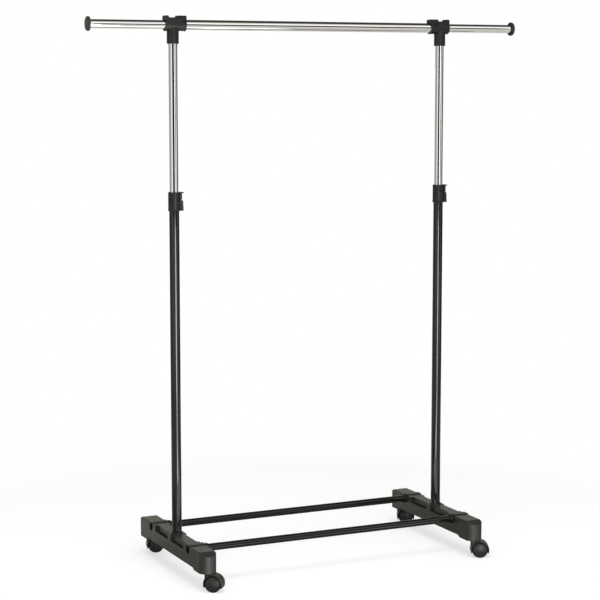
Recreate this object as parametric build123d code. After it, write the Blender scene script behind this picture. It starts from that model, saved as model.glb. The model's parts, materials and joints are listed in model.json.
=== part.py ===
"""Rolling clothes rack: two moulded feet on twin-wheel casters, two telescopic posts with
height-lock collars, and a hanging rail with an extension arm at each end.

Millimetres, +Z up, the rail along X, the floor at z 0. The origin is the middle of the whole
rack's outline on the floor. Each piece is one node, written to parts/NODE.step.
"""
import os
from math import cos, radians, sin, sqrt

from build123d import *

# ---- Driving dimensions -------------------------------------------------------------------
# Rack
post_spacing = 760.0       # between the axes of the two posts
rail_height = 1392.0       # floor to the axis of the hanging rail
arm_reach = 218.0          # post axis to the inner face of an end cap
raise_travel = 300.0       # how far the hanging frame goes up from here

# Tubes
post_od = 25.4
post_wall = 0.8
inner_od = 22.2            # upper posts and arms
inner_wall = 0.9
rail_od = 25.4
rail_wall = 0.8
rod_od = 19.0
rod_wall = 0.8
seat_gap = 0.1             # radial clearance of a tube in a moulded seat
run_gap = 0.1              # radial clearance of a tube that slides in a bush
guide_gap = 0.3            # radial clearance between sliding bodies that only pass

# Feet
foot_length = 450.0
foot_width = 45.0
foot_bottom = 52.0         # above the floor
foot_top = 99.0
foot_wall = 3.0
end_bulge = 16.0           # how far the curved ends stand out past the straight sides
end_corner = 9.0
end_drop = 9.0             # how far the top slopes down at each tip
end_slope = 22.0
top_round = 3.0            # rounding of the top edges
boss_drop = 5.0            # how much deeper the caster ends are
boss_length = 53.0
boss_ramp = 8.0            # length over which the underside drops to a caster end
trough_start = 9.0         # side troughs, measured from the middle of the foot
trough_end = 100.0
trough_width = 6.2
trough_depth = 20.0
trough_lip = 1.8           # wall left outside a trough
lip_drop = 16.0            # how far that wall stands below the top
rib_wall = 2.0
rib_pitch = 34.0
socket_wall = 3.2          # wall of the socket that holds a post
socket_rim = 3.5           # how far the socket stands above the foot
socket_floor = 62.0        # height at which the post stands
socket_floor_wall = 4.0
plug_length = 28.0         # moulded plug in the foot of a lower post
bolt_reach = 24.0          # how far its bolt goes up past the socket's floor
bolt_r = 3.0
bolt_flats = 10.0
bolt_head = 4.0
washer_r = 7.5
washer_t = 1.2

# Base rods and their end plugs
rod_setback = 95.0         # rod axes, from the tips of the feet
rod_z = 89.0
rod_plug_wall = 2.5
rod_plug_rise = 2.5        # how far a plug stands above the foot
rod_plug_sleeve = 9.0      # how far a plug reaches along the rod, past the inner side of the foot
rod_plug_core = 6.5        # depth of the hollow in its outer end
rod_plug_web = 8.0         # solid part between that hollow and the rod
rod_inset = 1.2            # plug end behind the outer side of the foot
cradle_wall = 3.0

# Collars, bushes and release levers
collar_top = 976.0
collar_height = 47.0
collar_od = 30.0
collar_lid = 4.0           # thickness above the end of the lower post
collar_flare = 0.8
housing_reach = 18.6       # post axis to the front of the lever housing
housing_width = 18.0
housing_lip = 4.6          # how far the lip and the lever stand out past the housing
housing_cheek = 1.9
bush_length = 24.0
pivot_x = 17.2
lever_back = 16.8          # post axis to the back of the lever
pivot_below_top = 19.0
pivot_r = 1.25
lever_gap = 0.3
lever_taper = 1.4          # the finger block leans back this much towards its top
lever_block_top = 21.0     # below the collar's top
shoe_below_top = 10.0
shoe_r = 2.5
spring_below_top = 36.0
spring_r = 2.1
spring_wire = 0.7
lever_press = 4.5          # degrees that the slot leaves room for

# Tees
tee_barrel_od = 31.5
tee_leg_od = 30.0
tee_leg_length = 47.0      # below the axis of the rail
tee_outer = 22.0           # post axis to the outer end of the barrel
tee_inner = 32.0           # and to the inner end
tee_top = 22.5             # rail axis to the top of the raised lobes
tee_saddle = 17.7          # and to the saddle between them
tee_lip = 3.0              # end wall that stops the rail
saddle_width = 28.0
lobe_width = 30.4
notch_outer = 14.5
notch_inner = 11.0
pad_end = 4.0              # sunk panels in the sides of the lobes stop this far from their ends
upper_post_gap = 1.8       # rail to the top of the upper post

# Telescoping overlaps
least_overlap = 100.0      # upper post inside the lower post when fully raised
rail_bush_length = 40.0
arm_stop_length = 16.0
arm_stop_gap = 2.0
slider_length = 18.0       # guide plug in the lower end of an upper post
slider_foot = 8.0          # and its foot below that end

# End caps
cap_od = 36.0
cap_thickness = 7.0
cap_plug = 16.0

# Casters
wheel_d = 42.0
wheel_width = 13.5
wheel_dome = 3.2           # how far the outer face swells out
tyre_round = 3.4
wheel_gap = 0.6            # wheel to the web of the hood
web_width = 8.0
hood_gap = 1.9             # over the tyre
hood_wall = 1.7
hood_width = 29.0
hood_round = 1.4
hood_skirt = 22.0          # degrees that the hood reaches below the axle
trail = 17.0               # swivel axis to the axle
stem_inset = 19.0          # swivel axes, from the tips of the feet
stem_r = 5.0
stem_top = 82.0
neck_r = 7.5
neck_gap = 0.3             # neck to the flange of the sleeve
sleeve_wall = 1.5
sleeve_flange = 1.0
axle_r = 2.5
caster_heading = {"fl": -40.0, "fr": -25.0, "rl": -14.0, "rr": -25.0}   # degrees from +X

# ---- Places worked out from them ----------------------------------------------------------
half_spacing = post_spacing / 2
foot_half = foot_length / 2
stem_y = foot_half - stem_inset
rod_y = foot_half - rod_setback
side_x = {"left": -half_spacing, "right": half_spacing}
boss_bottom = foot_bottom - boss_drop
collar_bottom = collar_top - collar_height
post_top = collar_top - collar_lid
post_r = post_od / 2
inner_r = inner_od / 2
rail_r = rail_od / 2
rod_r = rod_od / 2
axle_z = wheel_d / 2
hood_r = wheel_d / 2 + hood_gap + hood_wall
rail_end = half_spacing + tee_outer - tee_lip
wheel_out = web_width / 2 + wheel_gap + wheel_width
tee_bottom = rail_height - tee_leg_length
plug_r = rod_r + seat_gap + rod_plug_wall
pivot_z = collar_top - pivot_below_top
slot_back = lever_back - (pivot_z - collar_bottom) * sin(radians(lever_press)) - lever_gap
upper_overlap = raise_travel + least_overlap


def caster_reach(corner):
    """How far a caster's hood reaches from the middle of its foot, forwards or backwards."""
    heading = radians(caster_heading[corner])
    lean = -sin(heading) if corner[0] == "f" else sin(heading)
    ahead = trail + (hood_r - hood_round if lean > 0 else hood_round - hood_r)
    return stem_y + ahead * lean + (hood_width / 2 - hood_round) * cos(heading) + hood_round


# The front casters reach further out than the feet do, so the posts stand a little behind the
# middle of the rack's outline.
front_reach = max(foot_half, caster_reach("fl"), caster_reach("fr"))
rear_reach = max(foot_half, caster_reach("rl"), caster_reach("rr"))
post_plane_y = (front_reach - rear_reach) / 2

LOW = (Align.CENTER, Align.CENTER, Align.MIN)


def upright(radius, low, high):
    """A cylinder on the Z axis between two heights."""
    return Pos(0, 0, low) * Cylinder(radius, high - low, align=LOW)


def along_x(radius, start, end):
    """A cylinder on the X axis between two places."""
    return Pos(start, 0, 0) * Rot(0, 90, 0) * Cylinder(radius, end - start, align=LOW)


def along_y(radius, start, end):
    """A cylinder on the Y axis between two places."""
    return Pos(0, start, 0) * Rot(-90, 0, 0) * Cylinder(radius, end - start, align=LOW)


def block(x, y, z):
    """A box between the pairs of limits x, y and z."""
    size = Box(x[1] - x[0], y[1] - y[0], z[1] - z[0])
    return Pos((x[0] + x[1]) / 2, (y[0] + y[1]) / 2, (z[0] + z[1]) / 2) * size


def dome(radius, low, high):
    """The profile of a shallow dome, from its rim to its crown on the axis."""
    rise = high - low
    sphere_r = (radius ** 2 + rise ** 2) / (2 * rise)
    middle = high - sphere_r + sqrt(sphere_r ** 2 - radius ** 2 / 4)
    return ThreePointArc((radius, low), (radius / 2, middle), (0, high))


def pan_screw(head_r, head_height, shank_r, length):
    """A pan-head screw on Z: head above z 0, shank below."""
    head = chamfer(upright(head_r, 0, head_height).edges().group_by(Axis.Z)[-1], head_height * 0.35)
    return head + upright(shank_r, -length, 0)


# ---- Feet ---------------------------------------------------------------------------------
def foot_plan(margin):
    """Outline of a foot from above, drawn in by a margin: straight sides, bowed ends."""
    half_w = foot_width / 2 - margin
    tip = foot_half - margin
    shoulder = foot_half - end_bulge
    outline = Polyline((half_w, -shoulder), (half_w, shoulder))
    outline += ThreePointArc((half_w, shoulder), (0, tip), (-half_w, shoulder))
    outline += Polyline((-half_w, shoulder), (-half_w, -shoulder))
    outline += ThreePointArc((-half_w, -shoulder), (0, -tip), (half_w, -shoulder))
    return fillet(make_face(outline).vertices(), end_corner - margin)


def foot_side(margin):
    """Outline of a foot from the side: deeper caster ends, and a top that slopes at the tips."""
    tip = foot_half + 1
    top = foot_top - margin
    slope_start = foot_half - end_slope
    boss_start = foot_half - boss_length
    ramp = boss_start - boss_ramp
    outline = Polyline((-slope_start, top), (slope_start, top), (tip, top - end_drop), (tip, boss_bottom),
                       (boss_start, boss_bottom), (ramp, foot_bottom), (-ramp, foot_bottom),
                       (-boss_start, boss_bottom), (-tip, boss_bottom), (-tip, top - end_drop), close=True)
    return make_face(outline)


def foot_body(margin):
    """The foot's outer form, or with a margin the form inside its walls."""
    plan = extrude(Pos(0, 0, boss_bottom) * foot_plan(margin), foot_top - boss_bottom)
    side = extrude(Plane.YZ * foot_side(margin), foot_width / 2, both=True)
    return plan & side


def foot_cavity():
    """The hollow under a foot. It is narrower between the troughs, to leave their walls."""
    half_w = foot_width / 2 - trough_lip - trough_width - foot_wall
    trough_zone = (-trough_end - foot_wall, trough_end + foot_wall)
    cavity = foot_body(foot_wall)
    for side in (-1, 1):
        cavity -= block(sorted((side * half_w, side * foot_width)), trough_zone,
                        (foot_top - trough_depth - foot_wall, foot_top))
    under = block((-foot_width / 2 + foot_wall, foot_width / 2 - foot_wall),
                  (-foot_half + end_bulge + end_corner, foot_half - end_bulge - end_corner),
                  (boss_bottom - 1, foot_bottom + 1))
    return cavity + under


def foot_ribs(form):
    """Cross ribs and one long rib in the hollow, trimmed to the foot's outer form."""
    count = int((foot_half - end_bulge) / rib_pitch)
    ribs = block((-rib_wall / 2, rib_wall / 2), (-foot_half, foot_half), (foot_bottom + 4, foot_top))
    for step in range(-count, count + 1):
        if step == 0:
            continue
        y = step * rib_pitch
        ribs += block((-foot_width / 2, foot_width / 2), (y - rib_wall / 2, y + rib_wall / 2),
                      (foot_bottom + 4, foot_top - 1))
    return ribs & form


def rod_channel(radius):
    """The open-topped U across a foot in which a rod's end plug lies, about the rod's axis."""
    reach = foot_width
    width = radius * 2
    return along_x(radius, -reach, reach) + block((-reach, reach), (-width / 2, width / 2), (0, foot_top))


def foot():
    """One moulded foot. Both feet are the same moulding."""
    form = foot_body(0)
    top_faces = form.faces().filter_by(lambda face: face.normal_at().Z > 0.5)
    form = fillet(top_faces.edges().filter_by(lambda edge: abs((edge % 0.5).X) < 0.999), top_round)
    socket_r = post_r + seat_gap + socket_wall
    sleeve_r = stem_r + run_gap + sleeve_wall + seat_gap
    cradle_r = plug_r + cradle_wall
    body = form - foot_cavity() + foot_ribs(form)
    body += upright(socket_r, foot_bottom, foot_top + socket_rim)
    for y in (-rod_y, rod_y):
        body += block((-foot_width / 2, foot_width / 2), (y - cradle_r, y + cradle_r),
                      (rod_z - cradle_r - cradle_wall, foot_top)) & form
    for y in (-stem_y, stem_y):
        body += Pos(0, y, 0) * upright(sleeve_r + 3, boss_bottom, foot_top) & form
    for y in (-rod_y, rod_y):
        body -= Pos(0, y, rod_z) * rod_channel(plug_r + seat_gap)
        for x in (-1, 1):
            body -= Pos(x * rod_screw_x(), y, 0) * upright(1.9, foot_bottom, foot_top)
    for y in (-stem_y, stem_y):
        body -= Pos(0, y, 0) * upright(sleeve_r, boss_bottom - 1, stem_top + 2)
    body -= upright(post_r + seat_gap, socket_floor, foot_top + socket_rim + 1)
    body -= upright(bolt_r + 0.2, foot_bottom, socket_floor)
    body -= upright(washer_r + 1.5, foot_bottom - 1, socket_floor - socket_floor_wall)
    return body - foot_troughs()


def foot_troughs():
    """The two long troughs along each side of the top, and the lowered wall outside them."""
    outer = foot_width / 2 - trough_lip
    cuts = []
    for side in (-1, 1):
        for way in (-1, 1):
            y = sorted((way * trough_start, way * trough_end))
            slot_x = sorted((side * outer, side * (outer - trough_width)))
            lip_x = sorted((side * (outer - 1), side * (foot_width / 2 + 1)))
            slot = block(slot_x, y, (foot_top - trough_depth, foot_top + 1))
            cuts.append(fillet(slot.edges().filter_by(Axis.X).group_by(Axis.Z)[0], 4.0))
            cuts.append(block(lip_x, y, (foot_top - lip_drop, foot_top + 1)))
    return cuts


def rod_screw_x():
    """How far from the middle of a foot the screw goes up into a rod plug."""
    return foot_width / 2 - rod_inset - rod_plug_core - rod_plug_web / 2


# ---- Base ---------------------------------------------------------------------------------
def tube(outer_r, wall, start, end, make=upright):
    """A round tube between two places on its axis."""
    return make(outer_r, start, end) - make(outer_r - wall, start - 1, end + 1)


def lower_post():
    """A lower post, with the window of the lever's shoe and the hole of the collar screw."""
    shoe_z = collar_top - shoe_below_top
    post = tube(post_r, post_wall, socket_floor, post_top)
    post -= Pos(0, 0, shoe_z) * along_x(shoe_r + 1.0, 0, post_r + 1)
    return post - Pos(0, 0, collar_screw_z()) * along_y(1.5, 0, post_r + 1)


def post_plug():
    """The moulded plug in the foot of a lower post, bored for its bolt."""
    plug = upright(post_r - post_wall - 0.05, socket_floor, socket_floor + plug_length)
    plug = chamfer(plug.edges().group_by(Axis.Z)[-1], 1.5)
    return plug - upright(bolt_r, socket_floor - 1, socket_floor + (plug_length + bolt_reach) / 2)


def foot_bolt():
    """The hex bolt that goes up through a foot into the post plug."""
    top = socket_floor - socket_floor_wall - washer_t
    head = Pos(0, 0, top - bolt_head) * RegularPolygon(bolt_flats / 2, 6, major_radius=False)
    return extrude(head, bolt_head) + upright(bolt_r, top, socket_floor + bolt_reach)


def foot_washer():
    """The washer under that bolt's head."""
    top = socket_floor - socket_floor_wall
    return upright(washer_r, top - washer_t, top) - upright(bolt_r + 0.2, top - washer_t - 1, top + 1)


def rod_plug():
    """The end plug of a base rod, at the rod's axis, its closed end at -x."""
    end = rod_inset - foot_width / 2
    inner = foot_width / 2
    sleeve_end = inner + rod_plug_sleeve
    top = foot_top - rod_z + rod_plug_rise
    key = block((end, inner), (-plug_r, plug_r), (0, top))
    body = chamfer(along_x(plug_r, end, sleeve_end).edges().group_by(Axis.X)[-1], 0.8)
    body += fillet(key.edges().filter_by(Axis.X).group_by(Axis.Z)[-1], 4.0)
    body -= along_x(plug_r - rod_plug_wall, end - 1, end + rod_plug_core)
    body -= along_x(rod_r + 0.05, end + rod_plug_core + rod_plug_web, sleeve_end + 1)
    return body - rod_screw_hole()


def rod_screw_hole():
    """Pilot hole of the screw in a rod plug."""
    return Pos(-rod_screw_x(), 0, 0) * upright(1.5, -plug_r - 1, -1)


def rod_screw():
    """The screw that holds a rod plug down, from below, at the rod's axis."""
    under = -plug_r - cradle_wall * 2
    screw = Rot(180, 0, 0) * pan_screw(2.8, 2.0, 1.5, -under - 2)
    return Pos(-rod_screw_x(), 0, under) * screw


def base_rod():
    """A rod between the feet, at its axis."""
    end = half_spacing + foot_width / 2 - rod_inset - rod_plug_core - rod_plug_web - 0.3
    return tube(rod_r, rod_wall, -end, end, along_x)


def collar_screw_z():
    """Height of the screw at the back of a collar."""
    return collar_bottom + 9


def collar():
    """A height-lock collar: bored body, and a housing on the +x side for the release lever."""
    body = upright(collar_od / 2, collar_bottom, collar_top)
    flare = Pos(0, 0, collar_bottom) * Cone(collar_od / 2 + collar_flare, collar_od / 2, 6, align=LOW)
    body = chamfer(body.edges().group_by(Axis.Z)[-1], 0.8) + flare
    half_w = housing_width / 2
    housing = block((0, housing_reach), (-half_w, half_w), (collar_bottom, collar_top))
    housing = fillet(housing.edges().filter_by(Axis.Z).group_by(Axis.X)[-1], 1.5)
    lip = block((0, housing_reach + housing_lip), (-half_w, half_w), (collar_top - 3, collar_top))
    lip = fillet(lip.edges().filter_by(Axis.Z).group_by(Axis.X)[-1], 2.5)
    slot_w = half_w - housing_cheek
    slot = block((slot_back, housing_reach + 1), (-slot_w, slot_w),
                 (collar_bottom - 1, collar_top - 3))
    body = body + housing + lip - slot - collar_tongue()
    body -= upright(post_r + seat_gap, collar_bottom - 1, post_top)
    body -= upright(inner_r + guide_gap, collar_bottom, collar_top + 1)
    body -= Pos(0, 0, collar_top - shoe_below_top) * along_x(shoe_r + 1.2, 0, slot_back + 1)
    body -= Pos(pivot_x, 0, pivot_z) * along_y(pivot_r, -half_w, half_w)
    body -= Pos(0, 0, collar_screw_z()) * along_y(1.6, 0, collar_od)
    return body - Pos(0, 0, collar_screw_z()) * along_y(3.6, collar_od / 2 - 0.6, collar_od)


def collar_tongue():
    """The shallow U groove that marks the spring tongue on the front of a collar."""
    half_w, depth, line = 4.6, 19.0, 1.2
    tall = block((-half_w, half_w), (-collar_od, -collar_od / 2 + 1.3), (collar_top - depth, collar_top + 1))
    tall = fillet(tall.edges().filter_by(Axis.Y).group_by(Axis.Z)[0], 3.5)
    inner = block((-half_w + line, half_w - line), (-collar_od, 0),
                  (collar_top - depth + line, collar_top + 2))
    return tall - fillet(inner.edges().filter_by(Axis.Y).group_by(Axis.Z)[0], 2.5)


def collar_bush():
    """The guide bush in the mouth of a lower post, around the upper post."""
    bush = upright(post_r - post_wall - 0.05, post_top - bush_length, post_top)
    bush -= upright(inner_r + run_gap, post_top - bush_length - 1, post_top + 1)
    return bush - Pos(0, 0, collar_top - shoe_below_top) * along_x(shoe_r + 1.2, 0, post_r)


def collar_screw():
    """The screw at the back of a collar."""
    head_y = collar_od / 2 - 0.6
    screw = Rot(-90, 0, 0) * pan_screw(3.2, 1.9, 1.5, head_y - inner_r - 0.5)
    return Pos(0, head_y, collar_screw_z()) * screw


def release_lever():
    """The rocking lever in a collar: finger block below, shoe above, and a pivot between."""
    back, low = lever_back, collar_bottom
    front = housing_reach + housing_lip
    split = collar_top - lever_block_top
    high = collar_top - 3 - 2.0
    outline = Polyline((back, low), (front - 0.8, low), (front, low + 0.8), (front - lever_taper, split - 1),
                       (front - 2.4, split), (housing_reach - 0.6, split + 1.0), (housing_reach - 0.8, high),
                       (housing_reach - 4.0, high), (housing_reach - 4.0, split), (back, split - 2),
                       close=True)
    half_w = housing_width / 2 - housing_cheek - lever_gap
    lever = extrude(Plane.XZ * make_face(outline), half_w, both=True)
    lever += Pos(pivot_x, 0, pivot_z) * along_y(pivot_r + 1.4, -half_w, half_w)
    lever += Pos(0, 0, collar_top - shoe_below_top) * along_x(shoe_r, inner_r + 0.35, pivot_x)
    for step in range(4):
        rise = 5.5 + step * 3.8
        groove_x = front - lever_taper * rise / (split - low)
        lever -= Pos(groove_x, 0, low + rise) * along_y(0.8, -half_w - 1, half_w + 1)
    lever -= Pos(pivot_x, 0, pivot_z) * along_y(pivot_r + 0.05, -half_w - 1, half_w + 1)
    spring_z = collar_top - spring_below_top
    return lever - Pos(0, 0, spring_z) * along_x(spring_r + spring_wire + 0.5, back - 1, back + 4.5)


def lever_pin():
    """The pin that a release lever rocks on."""
    half_w = housing_width / 2
    return Pos(pivot_x, 0, pivot_z) * along_y(pivot_r, -half_w, half_w)


def lever_spring():
    """The spring behind a release lever, drawn at its pressed length."""
    turns, length = 3.0, 4.4
    path = Helix(pitch=length / turns, height=length, radius=spring_r)
    wire = sweep(Plane(path @ 0, z_dir=path % 0) * Circle(spring_wire / 2), path=path)
    return Pos(slot_back + spring_wire / 2, 0, collar_top - spring_below_top) * Rot(0, 90, 0) * wire


def caster_sleeve():
    """The grip sleeve of a caster stem, in a foot."""
    inner = stem_r + run_gap
    body = upright(inner + sleeve_wall, boss_bottom, stem_top + 2)
    body += upright(inner + sleeve_wall + 1.5, boss_bottom - sleeve_flange, boss_bottom)
    return body - upright(inner, boss_bottom - sleeve_flange - 1, stem_top + 1)


# ---- Hanging frame ------------------------------------------------------------------------
def upper_post():
    """An upper post, from the tee down into the lower post."""
    post = tube(inner_r, inner_wall, post_top - upper_overlap, rail_height - rail_r - upper_post_gap)
    return post - Pos(0, 0, tee_screw_z()) * along_y(1.5, 0, inner_od)


def post_slider():
    """The guide plug at the lower end of an upper post."""
    end = post_top - upper_overlap
    body = upright(inner_r - inner_wall - 0.05, end, end + slider_length)
    body += upright(post_r - post_wall - run_gap, end - slider_foot, end)
    return body - upright(6.0, end - slider_foot - 1, end + slider_length + 1)


def tee_screw_z():
    """Height of the screw at the back of a tee."""
    return tee_bottom + 12


def tee():
    """A tee, inward at +x: barrel for the rail, leg for the post, and raised lobes on top."""
    barrel = along_x(tee_barrel_od / 2, -tee_outer, tee_inner)
    rings = along_x(tee_barrel_od / 2 + 0.5, -tee_outer, -tee_outer + 2)
    rings += along_x(tee_barrel_od / 2 + 0.5, tee_inner - 2, tee_inner)
    leg = upright(tee_leg_od / 2, -tee_leg_length, 0)
    leg = chamfer(leg.edges().group_by(Axis.Z)[0], 0.8)
    body = barrel + rings + leg
    body += tee_pad(-notch_outer - 1, notch_inner + 1, saddle_width, tee_saddle, 4.0)
    body += tee_pad(-tee_outer, -notch_outer, lobe_width, tee_top, 5.0)
    body += tee_pad(notch_inner, tee_inner, lobe_width, tee_top, 5.0)
    for side in (-1, 1):
        y = sorted((side * 12.6, side * lobe_width))
        body -= block((notch_inner + pad_end, tee_inner - pad_end), y, (4.5, 12.0))
    body -= along_x(rail_r + seat_gap, -tee_outer + tee_lip, tee_inner + 1)
    body -= along_x(inner_r + guide_gap, -tee_outer - 1, 0)
    body -= upright(inner_r + seat_gap, -tee_leg_length - 1, -rail_r - upper_post_gap)
    body -= Pos(0, 0, tee_screw_z() - rail_height) * along_y(1.6, 0, tee_leg_od)
    head_seat = along_y(3.6, tee_leg_od / 2 - 0.6, tee_leg_od)
    return body - Pos(0, 0, tee_screw_z() - rail_height) * head_seat


def tee_pad(start, end, width, height, corner):
    """A raised pad over the barrel of a tee, with rounded long corners."""
    pad = block((start, end), (-width / 2, width / 2), (0, height))
    pad = fillet(pad.edges().filter_by(Axis.X).group_by(Axis.Z)[-1], corner)
    return chamfer(pad.edges().filter_by(Axis.Y).group_by(Axis.Z)[-1], 1.0)


def tee_screw():
    """The screw at the back of a tee."""
    head_y = tee_leg_od / 2 - 0.6
    screw = Rot(-90, 0, 0) * pan_screw(3.2, 1.9, 1.5, head_y - inner_r + inner_wall + 1)
    return Pos(0, head_y, tee_screw_z()) * screw


def hanging_rail():
    """The centre tube of the hanging rail, at its axis."""
    return tube(rail_r, rail_wall, -rail_end, rail_end, along_x)


def rail_bush():
    """The guide bush in the +x end of the rail, around an arm, with a flange at the tube's end."""
    inner = rail_end - rail_bush_length
    bush = along_x(rail_r - rail_wall - 0.05, inner, rail_end)
    return bush - along_x(inner_r + run_gap, inner - 1, rail_end + 1)


def arm():
    """The +x extension arm, at the axis of the rail."""
    start = rail_end - rail_bush_length - arm_stop_gap - arm_stop_length
    return tube(inner_r, inner_wall, start, half_spacing + arm_reach, along_x)


def arm_stop():
    """The stop plug on the inner end of an arm: a split ring over the tube and a plug inside."""
    end = rail_end - rail_bush_length - arm_stop_gap
    start = end - arm_stop_length
    ring = along_x(rail_r - rail_wall - run_gap, start - 3, end)
    ring -= along_x(inner_r, start, end + 1)
    return ring - along_x(6.0, start - 4, start + 1)


def end_cap():
    """The round cap on the outer end of an arm: domed disc, rim turned in, plug in the tube."""
    face = half_spacing + arm_reach
    half = cap_od / 2
    outline = Polyline((0, 0), (half - 6.5, 0), (half - 5.5, 2.8), (half - 2.4, 2.8), (half - 1.6, 0),
                       (half - 0.8, 0), (half, 1.4), (half, cap_thickness - 2.6),
                       (half - 2.2, cap_thickness - 0.8))
    outline += dome(half - 2.2, cap_thickness - 0.8, cap_thickness + 0.2)
    outline += Line((0, cap_thickness + 0.2), (0, 0))
    disc = revolve(Plane.XZ * make_face(outline), Axis.Z)
    plug = upright(inner_r - inner_wall - 0.05, -cap_plug, 1)
    plug = chamfer(plug.edges().group_by(Axis.Z)[0], 1.0)
    return Pos(face, 0, 0) * Rot(0, 90, 0) * (disc + plug)


# ---- Casters ------------------------------------------------------------------------------
def caster_hood():
    """A caster's body, heading +x from its swivel axis: hood over both wheels, web and neck."""
    tyre_r = wheel_d / 2 + hood_gap
    hood = along_y(hood_r, -hood_width / 2, hood_width / 2)
    hood = fillet(hood.edges().filter_by(GeomType.CIRCLE), hood_round)
    hood -= block((-hood_r, hood_r), (-hood_width, hood_width), (-hood_r, -hood_r * sin(radians(hood_skirt))))
    neck_top = boss_bottom - sleeve_flange - neck_gap
    body = Pos(trail, 0, axle_z) * hood + upright(neck_r, axle_z + neck_r, neck_top)
    for side in (-1, 1):
        body -= Pos(trail, 0, axle_z) * along_y(tyre_r, *sorted((side * web_width / 2, side * hood_width)))
    body -= upright(stem_r, stem_bottom(), neck_top + 1)
    return body - Pos(trail, 0, axle_z) * along_y(axle_r + 0.08, -web_width, web_width)


def stem_bottom():
    """Height of a stem's lower end, just above the tyres."""
    return axle_z + sqrt((wheel_d / 2 + hood_gap) ** 2 - (trail - stem_r) ** 2) + 0.6


def caster_stem():
    """A caster's steel stem, with the groove of its grip ring and a bevelled tip."""
    stem = chamfer(upright(stem_r, stem_bottom(), stem_top).edges().group_by(Axis.Z)[-1], 1.5)
    groove = upright(stem_r + 1, stem_top - 9, stem_top - 6) - upright(stem_r - 0.8, 0, stem_top)
    return stem - groove


def caster_axle():
    """A caster's axle, through the web and into both wheels."""
    length = wheel_out - 3
    return Pos(trail, 0, axle_z) * along_y(axle_r, -length, length)


def caster_wheel(side):
    """One wheel of a caster, on the +y or -y side: rounded tyre, a groove and a domed face."""
    radius = wheel_d / 2
    near = web_width / 2 + wheel_gap
    far = wheel_out
    shoulder = radius - tyre_round
    brow = far - wheel_dome
    outline = Polyline((0, near), (radius - 1.5, near), (radius, near + 1.5), (radius, brow - tyre_round))
    outline += CenterArc((shoulder, brow - tyre_round), tyre_round, 0, 90)
    outline += Line((shoulder, brow), (shoulder - 0.7, brow - 0.5))
    outline += dome(shoulder - 0.7, brow - 0.5, far)
    outline += Line((0, far), (0, near))
    wheel = revolve(Plane.XY * make_face(outline), Axis.Y)
    wheel -= along_y(axle_r, near - 1, wheel_out - 3)
    wheel = Pos(trail, 0, axle_z) * wheel
    return wheel if side > 0 else mirror(wheel, Plane.XZ)


# ---- Assembly -----------------------------------------------------------------------------
def at_posts(piece, name, nodes):
    """Both copies of a piece made about a post's axis."""
    for side, x in side_x.items():
        nodes[f"{name}_{side}"] = Pos(x, 0, 0) * piece


def mirrored(piece, name, nodes):
    """Both copies of a piece made for the right-hand side."""
    nodes[f"{name}_right"] = piece
    nodes[f"{name}_left"] = mirror(piece, Plane.YZ)


def base_nodes(nodes):
    """Feet, lower posts, base rods, collars and what fastens them."""
    for name, piece in (("foot", foot()), ("lower_post", lower_post()), ("post_plug", post_plug()),
                        ("collar", collar()), ("collar_bush", collar_bush())):
        at_posts(piece, name, nodes)
    for name, piece in (("foot_bolts", foot_bolt()), ("foot_washers", foot_washer()),
                        ("collar_screws", collar_screw()), ("lever_pins", lever_pin()),
                        ("lever_springs", lever_spring())):
        nodes[name] = Compound([Pos(x, 0, 0) * piece for x in side_x.values()])
    plug_left = Pos(-half_spacing, 0, rod_z) * rod_plug()
    screw_left = Pos(-half_spacing, 0, rod_z) * rod_screw()
    screws = []
    for place, y in (("front", -rod_y), ("rear", rod_y)):
        nodes[f"base_rod_{place}"] = Pos(0, y, rod_z) * base_rod()
        pair = [plug_left, mirror(plug_left, Plane.YZ)]
        nodes[f"rod_plugs_{place}"] = Compound([Pos(0, y, 0) * plug for plug in pair])
        screws += [Pos(0, y, 0) * screw for screw in (screw_left, mirror(screw_left, Plane.YZ))]
    nodes["rod_screws"] = Compound(screws)
    nodes["caster_sleeves"] = Compound([
        Pos(x, y, 0) * caster_sleeve() for x in side_x.values() for y in (-stem_y, stem_y)])


def frame_nodes(nodes):
    """The hanging frame, the two arms and the release levers."""
    at_posts(release_lever(), "release_lever", nodes)
    at_posts(upper_post(), "upper_post", nodes)
    at_posts(post_slider(), "post_slider", nodes)
    tee_left = Pos(-half_spacing, 0, rail_height) * tee()
    nodes["tee_left"] = tee_left
    nodes["tee_right"] = mirror(tee_left, Plane.YZ)
    nodes["tee_screws"] = Compound([Pos(x, 0, 0) * tee_screw() for x in side_x.values()])
    nodes["hanging_rail"] = Pos(0, 0, rail_height) * hanging_rail()
    for name, piece in (("rail_bush", rail_bush()), ("arm", arm()), ("arm_stop", arm_stop()),
                        ("end_cap", end_cap())):
        mirrored(Pos(0, 0, rail_height) * piece, name, nodes)


def caster_nodes(nodes):
    """Four casters, each turned to its own heading."""
    for corner, heading in caster_heading.items():
        x = side_x["left" if corner[1] == "l" else "right"]
        y = -stem_y if corner[0] == "f" else stem_y
        place = Pos(x, y, 0) * Rot(0, 0, heading)
        nodes[f"caster_{corner}_hood"] = place * caster_hood()
        nodes[f"caster_{corner}_stem"] = place * caster_stem()
        nodes[f"caster_{corner}_axle"] = place * caster_axle()
        nodes[f"caster_{corner}_wheel_a"] = place * caster_wheel(-1)
        nodes[f"caster_{corner}_wheel_b"] = place * caster_wheel(1)


def main():
    nodes = {}
    base_nodes(nodes)
    frame_nodes(nodes)
    caster_nodes(nodes)
    os.makedirs("parts", exist_ok=True)
    for name, shape in nodes.items():
        export_step(Pos(0, post_plane_y, 0) * shape, f"parts/{name}.step")
    print(len(nodes), "nodes, posts at y", round(post_plane_y, 3))


main()
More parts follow.
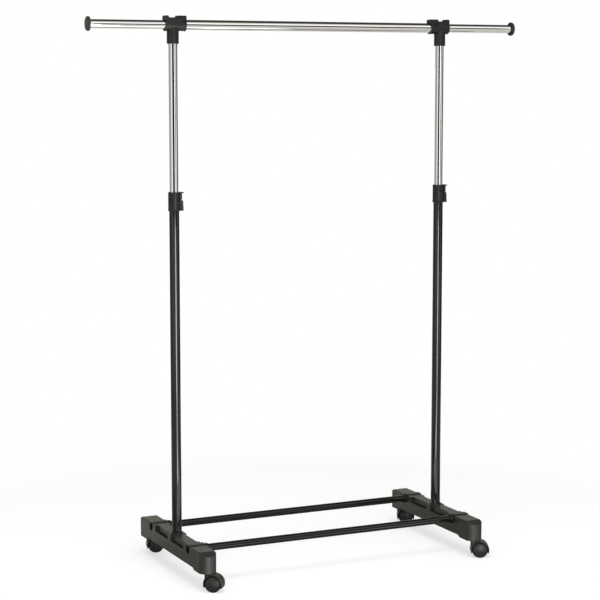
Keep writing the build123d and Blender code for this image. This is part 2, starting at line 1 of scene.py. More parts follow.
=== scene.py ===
# %% [markdown]
# # A rolling clothes rack, dressed in Blender
#
# The rack is already a finished mechanical model: every tube, foot, collar and caster stands in
# its place, at its real size. This notebook gives it its looks. It sets up the camera, the floor
# and the light, then works through the finishes one by one. Last it models the pieces whose
# shape carries the eye: the polished and painted tubes, the caster wheels, the caps on the arms
# and the screws at the back.

# %% Load the frame
import json
import math

import bpy
from mathutils import Matrix, Vector


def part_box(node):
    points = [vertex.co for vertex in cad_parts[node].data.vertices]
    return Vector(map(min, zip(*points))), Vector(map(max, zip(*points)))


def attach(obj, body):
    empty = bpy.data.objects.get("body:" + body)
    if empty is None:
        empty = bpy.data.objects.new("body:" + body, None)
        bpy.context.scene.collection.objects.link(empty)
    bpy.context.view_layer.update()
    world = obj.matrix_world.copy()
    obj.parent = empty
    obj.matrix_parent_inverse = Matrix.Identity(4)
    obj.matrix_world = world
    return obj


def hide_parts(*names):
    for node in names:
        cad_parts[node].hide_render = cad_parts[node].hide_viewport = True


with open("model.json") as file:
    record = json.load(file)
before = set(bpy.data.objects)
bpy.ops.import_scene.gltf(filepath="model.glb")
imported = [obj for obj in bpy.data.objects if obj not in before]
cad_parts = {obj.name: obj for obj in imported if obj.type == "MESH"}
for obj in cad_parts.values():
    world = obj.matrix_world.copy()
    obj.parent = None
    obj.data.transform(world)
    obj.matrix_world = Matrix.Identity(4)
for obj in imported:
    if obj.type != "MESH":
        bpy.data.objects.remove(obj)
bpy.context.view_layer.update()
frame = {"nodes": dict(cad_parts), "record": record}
nodes = frame["nodes"]

# %% [markdown]
# ## The camera
#
# The camera stands in front of the rack, well to its left and a little lower than its rail, and
# looks slightly down. A long lens keeps the posts nearly parallel. Its place is written from the
# frame: the posts stand on the plane that runs through the middle of the hanging rail.

# %% Camera
def middle_of(node):
    """The middle of a node's box."""
    low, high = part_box(node)
    return Vector((a + b) / 2 for a, b in zip(low, high))


post_plane_y = middle_of("hanging_rail").y
rail_z = middle_of("hanging_rail").z

camera_x, camera_z = -2.01927, 1.26154
camera_in_front = 4.24161             # of the plane of the posts
camera_yaw = math.radians(25.12)      # to the right of straight ahead
camera_pitch = math.radians(7.02)     # down
camera_data = bpy.data.cameras.new("camera")
camera_data.sensor_width = 36.0
camera_data.lens = 108.37
camera = bpy.data.objects.new("camera", camera_data)
bpy.context.scene.collection.objects.link(camera)
bpy.context.scene.camera = camera
camera.location = (camera_x, post_plane_y - camera_in_front, camera_z)
camera.rotation_euler = (math.radians(90) - camera_pitch, 0, -camera_yaw)
print("camera at", tuple(round(v, 3) for v in camera.location))

# %% [markdown]
# ## Shader helpers
#
# A material is a tree of shader nodes, and so is the world. It could be built by hand in the
# shader editor, but a script can be read and run again. Two helpers keep it short: one makes a
# material with an empty tree, and one adds a node and sets its values by name.

# %% Shader helpers
def new_material(name):
    """A node material with an empty tree, and that tree."""
    material = bpy.data.materials.new(name)
    material.use_nodes = True
    material.node_tree.nodes.clear()
    return material, material.node_tree


def add(tree, kind, **values):
    """A shader node; names of its properties or of its input sockets set their values."""
    node = tree.nodes.new("ShaderNode" + kind)
    for name, value in values.items():
        if hasattr(node, name):
            setattr(node, name, value)
        else:
            node.inputs[name.replace("_", " ")].default_value = value
    return node


# %% [markdown]
# ## The world
#
# A catalogue studio is a white sweep with large soft lamps. The world stands for its walls. It is
# white where the camera or a mirror sees it. To everything else it gives a plain and weaker light
# from all sides, which leaves room for the lamps to shape the rack.

# %% World
light_from_walls = 0.42               # what all but the camera and mirrors get, where white is 1
bpy.context.scene.view_settings.view_transform = "Standard"
world = bpy.data.worlds.new("studio")
bpy.context.scene.world = world
world.use_nodes = True
tree = world.node_tree
tree.nodes.clear()
path = add(tree, "LightPath")
seen = add(tree, "Math", operation="MAXIMUM")
seen_or_through = add(tree, "Math", operation="MAXIMUM")
strength = add(tree, "MapRange", To_Min=light_from_walls, To_Max=1.0)
tree.links.new(path.outputs["Is Camera Ray"], seen.inputs[0])
tree.links.new(path.outputs["Is Glossy Ray"], seen.inputs[1])
tree.links.new(seen.outputs[0], seen_or_through.inputs[0])
tree.links.new(path.outputs["Is Transmission Ray"], seen_or_through.inputs[1])
tree.links.new(seen_or_through.outputs[0], strength.inputs["Value"])
background = add(tree, "Background", Color=(1, 1, 1, 1))
tree.links.new(strength.outputs[0], background.inputs["Strength"])
tree.links.new(background.outputs[0], add(tree, "OutputWorld").inputs["Surface"])
print("the world has", len(tree.nodes), "nodes and gives a light of", light_from_walls)

# %% [markdown]
# ## The floor
#
# The floor is the level part of the sweep. It is pale and keeps the soft shadow of the rack, and
# further out it fades into the white of the world, so that no horizon line shows. A studio lights
# its sweep until it is nearly white, so where the camera sees it the floor is lifted towards
# white. That lift is for the camera alone, and gives the rack no light.

# %% Floor
floor_r = 9.0
fade_from, fade_to = 0.6, 1.5         # how far from the middle of the rack the paper fades
paper_white, paper_for_camera = 0.80, 1.32
lift_for_camera = 0.6                 # the share of plain white that the camera sees everywhere
bpy.ops.object.select_all(action="DESELECT")
bpy.ops.mesh.primitive_circle_add(vertices=96, radius=floor_r, fill_type="NGON")
floor = bpy.context.object
floor.name = "floor"
material, tree = new_material("floor_sweep")
position = add(tree, "TexCoord")
distance = add(tree, "VectorMath", operation="LENGTH")
fade = add(tree, "MapRange", interpolation_type="SMOOTHSTEP", From_Min=fade_from, From_Max=fade_to)
path = add(tree, "LightPath")
paleness = add(tree, "MapRange", To_Min=paper_white, To_Max=paper_for_camera)
lift = add(tree, "MapRange", To_Min=0.0, To_Max=lift_for_camera)
faded_or_lifted = add(tree, "Math", operation="MAXIMUM")
paint = add(tree, "BsdfDiffuse")
glow = add(tree, "Emission", Color=(1, 1, 1, 1), Strength=1.0)
blend = add(tree, "MixShader")
tree.links.new(position.outputs["Object"], distance.inputs[0])
tree.links.new(distance.outputs["Value"], fade.inputs["Value"])
tree.links.new(path.outputs["Is Camera Ray"], paleness.inputs["Value"])
tree.links.new(paleness.outputs[0], paint.inputs["Color"])
tree.links.new(path.outputs["Is Camera Ray"], lift.inputs["Value"])
tree.links.new(fade.outputs[0], faded_or_lifted.inputs[0])
tree.links.new(lift.outputs[0], faded_or_lifted.inputs[1])
tree.links.new(faded_or_lifted.outputs[0], blend.inputs[0])
tree.links.new(paint.outputs[0], blend.inputs[1])
tree.links.new(glow.outputs[0], blend.inputs[2])
tree.links.new(blend.outputs[0], add(tree, "OutputMaterial").inputs["Surface"])
floor.data.materials.append(material)
print("the floor fades from", fade_from, "to", fade_to, "m")

# %% [markdown]
# ## The lamps
#
# Three soft lamps light the rack: a large one from the front, a large one from above, and a weak
# one on the left for the side of the left foot. An area lamp stands for a softbox, which keeps the
# shadows soft. Mirrors don't see the lamps, because each would draw a hard bar in the chrome.

# %% Lamps
def softbox(name, place, target, width, height, watts):
    """A rectangular soft lamp at a place, turned to a target."""
    lamp = bpy.data.lights.new(name, "AREA")
    lamp.shape = "RECTANGLE"
    lamp.size, lamp.size_y = width, height
    lamp.energy = watts
    holder = bpy.data.objects.new(name, lamp)
    bpy.context.scene.collection.objects.link(holder)
    holder.location = place
    toward = Vector(target) - Vector(place)
    holder.rotation_euler = toward.to_track_quat("-Z", "Y").to_euler()
    holder.visible_glossy = False


middle_of_rack, left_foot = (0, 0, 0.8), (-0.38, 0, 0.1)
softbox("front_lamp", (-0.4, -4.2, 1.9), middle_of_rack, width=2.4, height=2.2, watts=45)
softbox("top_lamp", (-0.6, -1.2, 4.0), middle_of_rack, width=2.5, height=2.0, watts=60)
softbox("left_lamp", (-1.9, -1.2, 1.0), left_foot, width=1.2, height=1.2, watts=4)
print([(lamp.name, lamp.energy) for lamp in bpy.data.lights])

# %% [markdown]
# ## Cards and flags
#
# Chrome has no colour of its own: it shows the room. A photographer who shoots a polished tube
# sets white cards, grey cards and black flags round it, out of the camera's sight, and each one
# draws a line along the tube. The cards here do the same. Only mirrors see them, so they light
# nothing, and each shows from one side alone, so that none hides what is behind it. They hang
# like backdrops all round the rack, well clear of it, or lie flat on the floor.

# %% A helper for the cards
warm_grey, plain_white = (1, 0.97, 0.86, 1), (1, 1, 1, 1)
white_from = 0.9                      # a card of this shade or brighter is white, below it is warm
cards = []


def card(name, place, facing, width, height, shade):
    """A flat card that only mirrors see, and only from the side that it faces."""
    bpy.ops.object.select_all(action="DESELECT")
    bpy.ops.mesh.primitive_plane_add(size=1)
    flat = bpy.context.object
    flat.name = name
    flat.scale = (width, height, 1)
    flat.location = place
    toward = Vector(facing) - Vector(place)
    flat.rotation_euler = toward.to_track_quat("Z", "Y").to_euler()
    paper, tree = new_material(name)
    tint = warm_grey if shade < white_from else plain_white
    front = add(tree, "Emission", Color=tint, Strength=shade)
    back = add(tree, "BsdfTransparent")
    paper_or_air = add(tree, "MixShader")
    tree.links.new(add(tree, "NewGeometry").outputs["Backfacing"], paper_or_air.inputs[0])
    tree.links.new(front.outputs[0], paper_or_air.inputs[1])
    tree.links.new(back.outputs[0], paper_or_air.inputs[2])
    tree.links.new(paper_or_air.outputs[0], add(tree, "OutputMaterial").inputs["Surface"])
    flat.data.materials.append(paper)
    for ray in ("camera", "diffuse", "transmission", "volume_scatter", "shadow"):
        setattr(flat, "visible_" + ray, False)
    cards.append(name)


# %% [markdown]
# ### Ceiling and floor cards
#
# A level tube mirrors what is above and below it. A dark ceiling with a pale front edge and a dark
# floor draw the long lines of the rail; the darkest card, right under the rail, is a painted shadow
# of the rack on the floor. Lamps could draw such lines too, but they would light all the rest as
# well. A painted pool of light on the floor far in front draws the lower end of the streak on each
# post, and painted pools of light before the feet give the base rods a faint line and the noses of
# the feet a soft highlight.

# %% Ceiling and floor cards
def level_card(name, x, y, z, shade):
    """A level card between the limits x and y, at a height; it faces the level of the rack."""
    place = ((x[0] + x[1]) / 2, (y[0] + y[1]) / 2, z)
    card(name, place, (place[0], place[1], 1), x[1] - x[0], y[1] - y[0], shade)


level_card("ceiling_dark", x=(-3.0, 3.0), y=(-0.95, 2.8), z=3.2, shade=0.05)
level_card("ceiling_pale", x=(-3.0, 3.5), y=(-2.0, -0.95), z=3.21, shade=0.78)
# a painted shadow of the rack on the floor, which only mirrors see
level_card("painted_shadow_under_rail", x=(-1.3, 1.3), y=(-0.50, 0.30), z=0.002, shade=0.30)
level_card("floor_round_rack", x=(-3.0, 3.0), y=(-3.0, 3.0), z=0.001, shade=0.66)
# painted pools of light on the floor, brighter than white, which only mirrors see
level_card("painted_light_pool_far", x=(-0.5, 0.1), y=(-2.3, -1.0), z=0.003, shade=9.0)
level_card("painted_light_pool_in_front", x=(-0.55, 0.60), y=(-1.0, -0.28), z=0.003, shade=1.8)
level_card("painted_light_pool_left_foot", x=(-0.44, -0.31), y=(-0.9, -0.28), z=0.004, shade=4.5)
level_card("painted_light_pool_right_foot", x=(0.27, 0.40), y=(-0.9, -0.28), z=0.004, shade=3.0)
print(len(cards), "level cards")

# %% [markdown]
# ### Wall cards
#
# A dark cloth round the lens draws the dark line down the middle of each post. The flag on the
# right and the white card above draw the lines along the rail, and the bright strips draw the
# streaks on the posts. A strip could be set up for each post, but they would get in each other's
# way. So each strip hangs where both posts see it and the rail does not: the one for the upper
# posts ends where the flag for the rail begins.

# %% Wall cards
def wall_card(name, start, end, bottom, top, shade):
    """A standing card between two points on the floor plan, which faces the rack."""
    width = math.hypot(end[0] - start[0], end[1] - start[1])
    place = Vector(((start[0] + end[0]) / 2, (start[1] + end[1]) / 2, (bottom + top) / 2))
    across = Vector((end[1] - start[1], start[0] - end[0], 0))
    if across.dot(-place) < 0:
        across = -across
    card(name, place, place + across, width, top - bottom, shade)


flag_left_edge, flag_y, strip_y = 0.906, -4.5, -4.45
white_angle, white_reach, white_z = math.radians(25), 3.4, 2.91
white_place = (white_reach * math.sin(white_angle), -white_reach * math.cos(white_angle), white_z)
wall_card("flag_for_rail", (flag_left_edge, flag_y), (3.41, flag_y), 0.27, 2.85, shade=0.035)
wall_card("dark_round_lens", (-2.4, -2.02), (0.30, -4.4), 0.68, 1.55, shade=0.03)
card("white_for_rail", white_place, (0, 0, rail_z), width=3.4, height=1.38, shade=1.3)
wall_card("strip_for_posts", (-0.10, -2.0), (0.06, -2.0), 0.84, 1.40, shade=1.8)
wall_card("strip_for_upper_posts", (0.34, strip_y), (flag_left_edge, strip_y), 0.68, 1.46, shade=4.0)
wall_card("strip_for_lower_posts", (-0.712, -2.70), (0.166, -2.04), 0.0, 0.70, shade=12.0)
print(len(cards), "cards, with those on the walls")

# %% [markdown]
# ### Side and back cards
#
# The sides of a round tube show what stands beside and behind the rack. Two greys at the sides and
# three behind shade the tubes towards their edges, so that they don't melt into the white world.

# %% Side and back cards
card("grey_left", (-2.2, 1.3, 1.3), (0, 1.3, 1.3), width=3.0, height=2.6, shade=0.42)
card("grey_back", (0.5, 2.9, 1.95), (0.5, 0, 1.95), width=5.4, height=1.3, shade=0.42)
card("pale_back", (1.15, 2.9, 0.65), (1.15, 0, 0.65), width=4.1, height=1.3, shade=0.75)
card("dim_back", (-2.2, 2.9, 0.65), (-2.2, 0, 0.65), width=2.6, height=1.3, shade=0.30)
card("grey_right", (2.4, 0.6, 1.3), (0, 0.6, 1.3), width=3.8, height=2.6, shade=0.12)
print(len(cards), "cards in all")

# %% [markdown]
# ## Finishes
#
# Every finish below is procedural: it is worked out from the position on the piece, so it needs
# no picture and holds at any distance. Each starts from one surface shader. Noise read at the
# scale of the real grain then varies its colour, its roughness and its bumps.

# %% Helpers for the finishes
noise_range = (0.3, 0.7)              # noise runs from 0 to 1, but seldom leaves this range
colour_stops = (0.35, 0.65)           # where on the noise the two shades of a colour stand


def finish(name, colour, roughness, metallic=0.0, specular=0.5):
    """A material with one surface shader; returns it with what patterns need."""
    material, tree = new_material(name)
    surface = add(tree, "BsdfPrincipled", Base_Color=(*colour, 1), Roughness=roughness,
                  Metallic=metallic, Specular_IOR_Level=specular)
    tree.links.new(surface.outputs[0], add(tree, "OutputMaterial").inputs["Surface"])
    return material, tree, surface


def noise(tree, scale, detail=2.0, stretch=(1, 1, 1)):
    """Noise over the piece, in blobs of about one over scale metres, drawn out by stretch."""
    place = add(tree, "TexCoord")
    mapping = add(tree, "Mapping", Scale=stretch)
    pattern = add(tree, "TexNoise", Scale=scale, Detail=detail)
    tree.links.new(place.outputs["Object"], mapping.inputs["Vector"])
    tree.links.new(mapping.outputs[0], pattern.inputs["Vector"])
    return pattern.outputs[0]


def vary_roughness(tree, surface, pattern, low, high):
    """Roughness that wanders between two values."""
    spread = add(tree, "MapRange", From_Min=noise_range[0], From_Max=noise_range[1],
                 To_Min=low, To_Max=high)
    tree.links.new(pattern, spread.inputs["Value"])
    tree.links.new(spread.outputs[0], surface.inputs["Roughness"])


def vary_colour(tree, surface, pattern, first, second):
    """Colour that wanders between two shades."""
    ramp = add(tree, "ValToRGB")
    for stop, position, shade in zip(ramp.color_ramp.elements, colour_stops, (first, second)):
        stop.position = position
        stop.color = (*shade, 1)
    tree.links.new(pattern, ramp.inputs[0])
    tree.links.new(ramp.outputs[0], surface.inputs["Base Color"])


def raise_grain(tree, surface, pattern, depth, strength):
    """Bumps of a real depth, in metres."""
    bump = add(tree, "Bump", Distance=depth, Strength=strength)
    tree.links.new(pattern, bump.inputs["Height"])
    tree.links.new(bump.outputs[0], surface.inputs["Normal"])


# %% [markdown]
# ### Chrome
#
# The rail, the arms and the upper posts are chromed steel. One even mirror would do from afar,
# but plating over drawn tube keeps faint lines along the tube, from drawing and polishing. So the
# roughness follows noise drawn out along the tube, and the upright tubes and the level ones each
# have their own direction.

# %% Chrome
def chrome(name, stretch):
    """Chrome whose faint lines run the way in which the stretch is small."""
    material, tree, surface = finish(name, (0.80, 0.80, 0.80), 0.05, metallic=1.0)
    vary_roughness(tree, surface, noise(tree, 900, stretch=stretch), 0.02, 0.05)
    raise_grain(tree, surface, noise(tree, 1500, stretch=stretch), depth=5e-7, strength=0.2)
    return material


along_tube = 0.01                     # the noise changes a hundred times slower along the tube
chrome_upright = chrome("chrome_upright", (1, 1, along_tube))
chrome_level = chrome("chrome_level", (along_tube, 1, 1))
print("made", chrome_upright.name, "and", chrome_level.name)

# %% [markdown]
# ### Black powder coat
#
# The lower posts and the base rods have a black powder coat, baked on. It flows out to a gloss
# with a faint orange peel, about a millimetre and a half across, that softens every highlight.
# The peel could be modelled, but it is a few microns deep, and a bump does as well.

# %% Black powder coat
orange_peel = 650                     # bumps to the metre
black_coat, tree, surface = finish("black_coat", (0.005, 0.005, 0.005), 0.09)
vary_colour(tree, surface, noise(tree, 60), (0.004, 0.004, 0.004), (0.006, 0.0055, 0.005))
vary_roughness(tree, surface, noise(tree, 180), 0.07, 0.11)
raise_grain(tree, surface, noise(tree, orange_peel), depth=1e-6, strength=0.2)
print("made", black_coat.name)

# %% [markdown]
# ### Moulded plastics
#
# The feet are filled plastic from a spark-eroded mould, which leaves a fine satin grain and
# a warm, slightly uneven dark grey. The collars and tees come from a finer mould, and are darker
# and more neutral. The caps, the casters' hoods and the wheels are satin too, so they show soft
# highlights, while the tread of a wheel is dull. Guide plugs are a plain grey, as unseen parts
# are. One function makes them all, because only colours, gloss and grain differ.

# %% Moulded plastics
def moulded(name, dark, light, roughness, grain_size, depth, specular=0.3):
    """Moulded plastic: cloudy colour, wandering gloss, and the grain of its mould."""
    material, tree, surface = finish(name, dark, roughness[0], specular=specular)
    vary_colour(tree, surface, noise(tree, 35, detail=4.0), dark, light)
    vary_roughness(tree, surface, noise(tree, 120, detail=3.0), *roughness)
    raise_grain(tree, surface, noise(tree, 1 / grain_size, detail=1.0), depth, strength=0.5)
    return material


foot_plastic = moulded("foot_plastic", (0.029, 0.0265, 0.022), (0.037, 0.034, 0.0285),
                       roughness=(0.32, 0.42), grain_size=0.0006, depth=2e-5)
fitting_plastic = moulded("fitting_plastic", (0.009, 0.009, 0.009), (0.013, 0.013, 0.0125),
                          roughness=(0.34, 0.44), grain_size=0.0004, depth=1e-5)
cap_plastic = moulded("cap_plastic", (0.030, 0.030, 0.024), (0.038, 0.038, 0.031),
                      roughness=(0.30, 0.40), grain_size=0.0004, depth=1e-5)
guide_plastic = moulded("guide_plastic", (0.06, 0.06, 0.06), (0.075, 0.075, 0.073),
                        roughness=(0.40, 0.55), grain_size=0.0005, depth=2e-5)
hood_plastic = moulded("hood_plastic", (0.036, 0.034, 0.030), (0.045, 0.043, 0.038),
                       roughness=(0.30, 0.42), grain_size=0.0005, depth=1e-5, specular=0.5)
wheel_plastic = moulded("wheel_plastic", (0.022, 0.022, 0.021), (0.027, 0.027, 0.026),
                        roughness=(0.34, 0.42), grain_size=0.0004, depth=3e-6)
# the tread's near-black colour is painted shade of the gap under the caster's hood; its dullness is its
# own
tyre_plastic_and_gap_shade = moulded("tyre_plastic_and_gap_shade", (0.006, 0.006, 0.006), (0.012, 0.012, 0.011),
                       roughness=(0.45, 0.65), grain_size=0.0005, depth=3e-5, specular=0.15)
print("plastics:", [material.name for material in bpy.data.materials if "plastic" in material.name])

# %% [markdown]
# ### Zinc plate
#
# Bolts, washers, screws, pins, springs, stems and axles are zinc-plated steel: a dull blue-white
# metal with a cloudy crystal pattern. A plain grey metal would be simpler, but it would look like
# bare steel, so fine noise clouds both the colour and the gloss.

# %% Zinc plate
zinc, tree, surface = finish("zinc", (0.60, 0.62, 0.64), 0.3, metallic=1.0)
vary_colour(tree, surface, noise(tree, 400, detail=4.0), (0.54, 0.56, 0.58), (0.66, 0.67, 0.68))
vary_roughness(tree, surface, noise(tree, 900), 0.25, 0.42)
print("made", zinc.name)

# %% [markdown]
# ## Dressing the pieces
#
# The finishes could be given to the pieces one by one, but the record of the rack says of which
# stock each piece is made, and handing them out by that list misses none. The feet, the collars,
# the tees, the levers and the hoods of the casters need no more, as their shape is right already.

# %% Finishes for the nodes
by_slot = {"chrome_tube": chrome_level, "black_tube": black_coat, "foot_plastic": foot_plastic,
           "fitting_plastic": fitting_plastic, "cap_plastic": cap_plastic,
           "guide_plastic": guide_plastic, "caster_plastic": hood_plastic,
           "wheel_plastic": wheel_plastic, "zinc_steel": zinc}
for part in frame["record"]["subparts"]:
    piece = nodes[part["node"]]
    piece.data.materials.clear()
    piece.data.materials.append(by_slot[part["material_slot"]])
body_of = {node: body for body, members in frame["record"]["behaviour"]["bodies"].items()
           for node in members}

# %% [markdown]
# ## Tubes
#
# A tube could stay as the mechanical model has it, but that mesh is cut for measuring, and its
# few facets break up a mirror finish. So each tube is modelled again: a cylinder with ninety-six
# sides, its ends inset by the wall, bridged through to make the bore, and its rims bevelled as a
# tube cutter and a file leave them.

# %% Helpers for modelling
def alone(piece):
    """Makes a piece the active one, and the only one that is selected."""
    bpy.ops.object.select_all(action="DESELECT")
    piece.select_set(True)
    bpy.context.view_layer.objects.active = piece


def edit(piece, kind="FACE"):
    """Edit mode on one piece alone, with nothing selected in it."""
    alone(piece)
    bpy.ops.object.mode_set(mode="EDIT")
    bpy.ops.mesh.select_mode(type=kind)
    bpy.ops.mesh.select_all(action="DESELECT")


def pick(piece, what, test):
    """Selects the faces or edges that pass a test, in edit mode."""
    bpy.ops.object.mode_set(mode="OBJECT")
    for item in getattr(piece.data, what):
        item.select = bool(test(item))
    bpy.ops.object.mode_set(mode="EDIT")


def settle(piece, node, material, smooth=25):
    """Finishes a piece that stands for a node: place into the mesh, shading, finish and body."""
    bpy.ops.object.mode_set(mode="OBJECT")
    alone(piece)
    bpy.ops.object.transform_apply(location=True, rotation=True, scale=True)
    bpy.ops.object.shade_smooth_by_angle(angle=math.radians(smooth))
    piece.name = node + "_modelled"
    if not piece.data.materials:
        piece.data.materials.append(material)
    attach(piece, body_of[node])
    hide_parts(node)
    return piece


# %% Tubes
slim_wall, wide_wall, rod_wall = 0.0009, 0.0008, 0.0008      # of 22, 25 and 19 mm tubes
sides_of_tube = 96
square_on = 0.9                       # a face whose normal is this long along Z faces up or down
eased = 0.35                          # the share of the wall that a file takes off each rim
lay = {0: (0, math.radians(90), 0), 2: (0, 0, 0)}      # turns Z onto the tube's own axis


def modelled_tube(node, wall, material):
    """A tube in place of a node, with a bore and eased rims."""
    low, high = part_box(node)
    size = high - low
    along = max((0, 2), key=lambda i: size[i])
    length, radius, tolerance = size[along], size.y / 2, wall / 10
    bpy.ops.object.select_all(action="DESELECT")
    bpy.ops.mesh.primitive_cylinder_add(vertices=sides_of_tube, radius=radius, depth=length,
                                        location=(low + high) / 2, rotation=lay[along])
    piece = bpy.context.object
    edit(piece)
    pick(piece, "polygons", lambda face: abs(face.normal.z) > square_on)
    bpy.ops.mesh.inset(thickness=wall, depth=0)
    bpy.ops.mesh.bridge_edge_loops()

    def on_rim(edge):
        """Whether an edge runs round an end of the tube, at its outside or at its bore."""
        first, second = (piece.data.vertices[i].co for i in edge.vertices)
        same_radius = abs(first.xy.length - second.xy.length) < tolerance
        return same_radius and min(abs(first.z), abs(second.z)) > length / 2 - tolerance

    bpy.ops.mesh.select_mode(type="EDGE")
    pick(piece, "edges", on_rim)
    bpy.ops.mesh.bevel(offset=wall * eased, segments=2, affect="EDGES")
    return settle(piece, node, material, smooth=12)


for side in ("left", "right"):
    modelled_tube(f"upper_post_{side}", slim_wall, chrome_upright)
    modelled_tube(f"lower_post_{side}", wide_wall, black_coat)
    modelled_tube(f"arm_{side}", slim_wall, chrome_level)
modelled_tube("hanging_rail", wide_wall, chrome_level)
for end in ("front", "rear"):
    tube = modelled_tube(f"base_rod_{end}", rod_wall, black_coat)
print("a tube has", len(tube.data.polygons), "faces")

# %% [markdown]
# ## Turned pieces
#
# The caster wheels, the end caps and the screws are all round, so each is an outline spun round
# an axis. The outline is drawn as by hand: one vertex, extruded from point to point, with the
# round stretches as short steps along an arc.

# %% Helpers for turned pieces
weld_distance = 1e-6                  # points closer than this are one


def arc(centre, radius, start, end, steps):
    """Points along an arc, between two angles in degrees."""
    angles = [math.radians(start + (end - start) * i / steps) for i in range(steps + 1)]
    return [(centre[0] + radius * math.cos(a), centre[1] + radius * math.sin(a)) for a in angles]


def turned(name, outline, sides):
    """A solid from an outline of (radius, height) points, spun round the Z axis."""
    bpy.ops.object.select_all(action="DESELECT")
    bpy.ops.mesh.primitive_plane_add(size=0.001)
    piece = bpy.context.object
    piece.name = name
    edit(piece, "VERT")
    bpy.ops.mesh.select_all(action="SELECT")
    bpy.ops.mesh.merge(type="CENTER")
    bpy.ops.transform.translate(value=(outline[0][0], 0, outline[0][1]))
    for (r, z), (next_r, next_z) in zip(outline, outline[1:]):
        step = (next_r - r, 0, next_z - z)
        bpy.ops.mesh.extrude_region_move(TRANSFORM_OT_translate={"value": step})
    bpy.ops.mesh.select_all(action="SELECT")
    bpy.ops.mesh.spin(steps=sides, angle=math.tau, center=(0, 0, 0), axis=(0, 0, 1))
    bpy.ops.mesh.select_all(action="SELECT")
    bpy.ops.mesh.remove_doubles(threshold=weld_distance)
    bpy.ops.mesh.normals_make_consistent(inside=False)
    bpy.ops.object.mode_set(mode="OBJECT")
    return piece


def copy_at(piece, matrix):
    """A copy of a piece with its own mesh, at a place."""
    double = piece.copy()
    double.data = piece.data.copy()
    bpy.context.scene.collection.objects.link(double)
    double.matrix_world = matrix
    return double


def discard(piece):
    """Removes a piece that has only been a pattern for its copies."""
    mesh = piece.data
    bpy.data.objects.remove(piece)
    bpy.data.meshes.remove(mesh)


# %% [markdown]
# ### Caster wheels
#
# Each caster has two wheels on one axle. A wheel is one moulding: a tread with rounded shoulders,
# a fine groove, and an outer face that swells out in a low dome. It could stay as the mechanical
# model has it, but the groove and the dome are what the light plays on. The tread is dull from
# the floor and the face is satin, so the two get different finishes. The tread's near-black colour
# is painted shade of the narrow gap under the hood.

# %% Caster wheels
wheel_low, wheel_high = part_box("caster_fl_wheel_a")
wheel_r = (wheel_high.z - wheel_low.z) / 2
wheel_near, wheel_far = 0.0046, 0.0181       # from the caster's middle to a wheel's two faces
inner_round, draft, draft_height = 0.0015, 0.0001, 0.004       # at the tread's inner edge
shoulder, swell = 0.0034, 0.0037             # round of the tread, and rise of the face's dome
groove_width, groove_slope, groove_depth = 0.0007, 0.0004, 0.0005
brow = wheel_far - swell + groove_depth      # the height of the tread's outer edge
face_r = wheel_r - shoulder - groove_width
dome_r = (face_r ** 2 + swell ** 2) / (2 * swell)
half_angle = math.degrees(math.asin(face_r / dome_r))
outline = [(0, wheel_near)]
outline += arc((wheel_r - draft - inner_round, wheel_near + inner_round), inner_round, -90, 0, 4)
outline += [(wheel_r, wheel_near + draft_height)]
outline += arc((wheel_r - shoulder, brow - shoulder), shoulder, 0, 90, 10)
outline += [(face_r + groove_slope, brow - groove_slope)]
outline += arc((0, wheel_far - dome_r), dome_r, 90 - half_angle, 90, 20)
wheel = turned("wheel_pattern", outline, sides=96)
wheel.data.materials.append(wheel_plastic)
wheel.data.materials.append(tyre_plastic_and_gap_shade)
# the tread and its shoulders get the near-black finish, painted shade of the gap under the hood
for face in wheel.data.polygons:
    if face.center.xy.length > wheel_r - shoulder:
        face.material_index = 1
upright = Matrix.Rotation(math.radians(-90), 4, "X")       # the wheel's axis onto +Y
for corner in ("fl", "fr", "rl", "rr"):
    axle = middle_of(f"caster_{corner}_axle")
    stem = middle_of(f"caster_{corner}_stem")
    heading = math.atan2(axle.y - stem.y, axle.x - stem.x)
    for letter, turn in (("a", math.pi), ("b", 0)):
        place = Matrix.Translation(axle) @ Matrix.Rotation(heading + turn, 4, "Z") @ upright
        settle(copy_at(wheel, place), f"caster_{corner}_wheel_{letter}", wheel_plastic)
print("a wheel has", len(wheel.data.polygons), "faces")
discard(wheel)

# %% [markdown]
# ### End caps
#
# A cap is a domed disc with its rim turned back towards the arm, on a plug that presses into
# the tube. The hollow behind the rim keeps the wall of the moulding even. All of it is round, so
# one outline makes the cap whole, with nothing to join.

# %% End caps
cap_r, cap_rim, cap_rise = 0.018, 0.0158, 0.001      # the disc, and the dome on its face
cap_face = 0.0072                     # from the end of the arm to the crown of the cap
back_round, front_round = 0.0010, 0.0024
plug_r, plug_length, plug_lead = 0.01015, 0.016, 0.001
seat_r, lip_r, lip_ease = 0.0115, 0.0164, 0.0002     # the ring against the tube, and the rim's edge
hollow_in, hollow_out, hollow_depth = 0.0125, 0.0156, 0.0028
crown_r = (cap_rim ** 2 + cap_rise ** 2) / (2 * cap_rise)
crown = math.degrees(math.asin(cap_rim / crown_r))
outline = [(0, -plug_length), (plug_r - plug_lead, -plug_length), (plug_r, -plug_length + plug_lead),
           (plug_r, 0), (seat_r, 0), (hollow_in, hollow_depth), (hollow_out, hollow_depth),
           (lip_r, lip_ease)]
outline += arc((cap_r - back_round, back_round), back_round, -90, 0, 4)
outline += arc((cap_r - front_round, cap_face - cap_rise - front_round), front_round, 0, 72, 8)
outline += arc((0, cap_face - crown_r), crown_r, 90 - crown, 90, 12)
cap = turned("cap_pattern", outline, sides=96)
for side, way in (("left", -1), ("right", 1)):
    low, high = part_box(f"end_cap_{side}")
    tip = high.x if way > 0 else low.x
    place = Matrix.Translation((tip - way * cap_face, post_plane_y, rail_z))
    place = place @ Matrix.Rotation(math.radians(90 * way), 4, "Y")
    settle(copy_at(cap, place), f"end_cap_{side}", cap_plastic)
print("a cap has", len(cap.data.polygons), "faces")
discard(cap)

# %% [markdown]
# ### Cross-head screws
#
# One screw at the back of each collar and of each tee holds it on its tube. The head is a low
# dome with a cross recess. The recess could be a dark mark, but a cut one has depth from every
# side. It is cut by two tapered bars, which narrow towards their tips as the driver's point does.

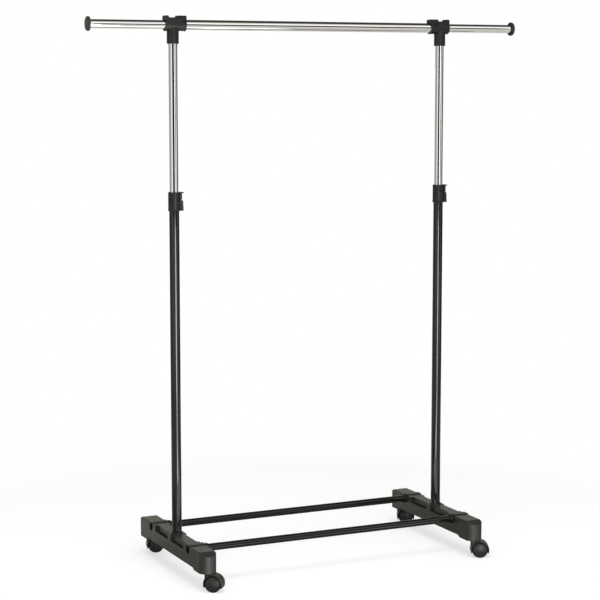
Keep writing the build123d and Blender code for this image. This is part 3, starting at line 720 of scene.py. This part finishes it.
# %% The pattern of a screw
head_r, head_height = 0.0032, 0.0019
head_edge, head_ease = 0.0007, 0.0002                 # height of the head's rim, ease under it
shank_r, tip_in, tip_up = 0.0015, 0.0004, 0.0006      # the shank, and the chamfer at its tip
recess_span, recess_slot, recess_depth = 0.0036, 0.0008, 0.0012
left_at_bottom = (0.35, 0.6, 1)       # the share of the span and of the slot at a bar's tip


def cross_screw(shank_length):
    """A pan-head screw on Z, its head above z 0, with a cross recess."""
    outline = [(0, -shank_length), (shank_r - tip_in, -shank_length), (shank_r, -shank_length + tip_up),
               (shank_r, 0), (head_r - head_ease, 0), (head_r, head_ease), (head_r, head_edge)]
    for angle in (20, 40, 60, 75):
        slope = math.radians(angle)
        rise = (head_height - head_edge) * math.sin(slope)
        outline.append((head_r * math.cos(slope), head_edge + rise))
    outline.append((0, head_height))
    screw = turned("screw_pattern", outline, sides=48)
    for turn in (0, 90):
        bpy.ops.object.select_all(action="DESELECT")
        bpy.ops.mesh.primitive_cube_add(size=1, location=(0, 0, head_height),
                                        rotation=(0, 0, math.radians(turn)),
                                        scale=(recess_span, recess_slot, 2 * recess_depth))
        bar = bpy.context.object
        edit(bar)
        pick(bar, "polygons", lambda face: face.normal.z < -square_on)
        bpy.ops.transform.resize(value=left_at_bottom)
        bpy.ops.object.mode_set(mode="OBJECT")
        cut = screw.modifiers.new("recess", "BOOLEAN")
        cut.operation, cut.solver, cut.object = "DIFFERENCE", "EXACT", bar
        alone(screw)
        bpy.ops.object.modifier_apply(modifier="recess")
        discard(bar)
    return screw


# %% Cross-head screws
for node in ("collar_screws", "tee_screws"):
    low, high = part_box(node)
    pattern = cross_screw(high.y - low.y - head_height)
    pair = []
    for x in (low.x + head_r, high.x - head_r):
        place = Matrix.Translation((x, high.y - head_height, (low.z + high.z) / 2))
        pair.append(copy_at(pattern, place @ Matrix.Rotation(math.radians(-90), 4, "X")))
    discard(pattern)
    alone(pair[0])
    pair[1].select_set(True)
    bpy.ops.object.join()
    settle(pair[0], node, zinc)
    print(node, "have", len(pair[0].data.polygons), "faces")
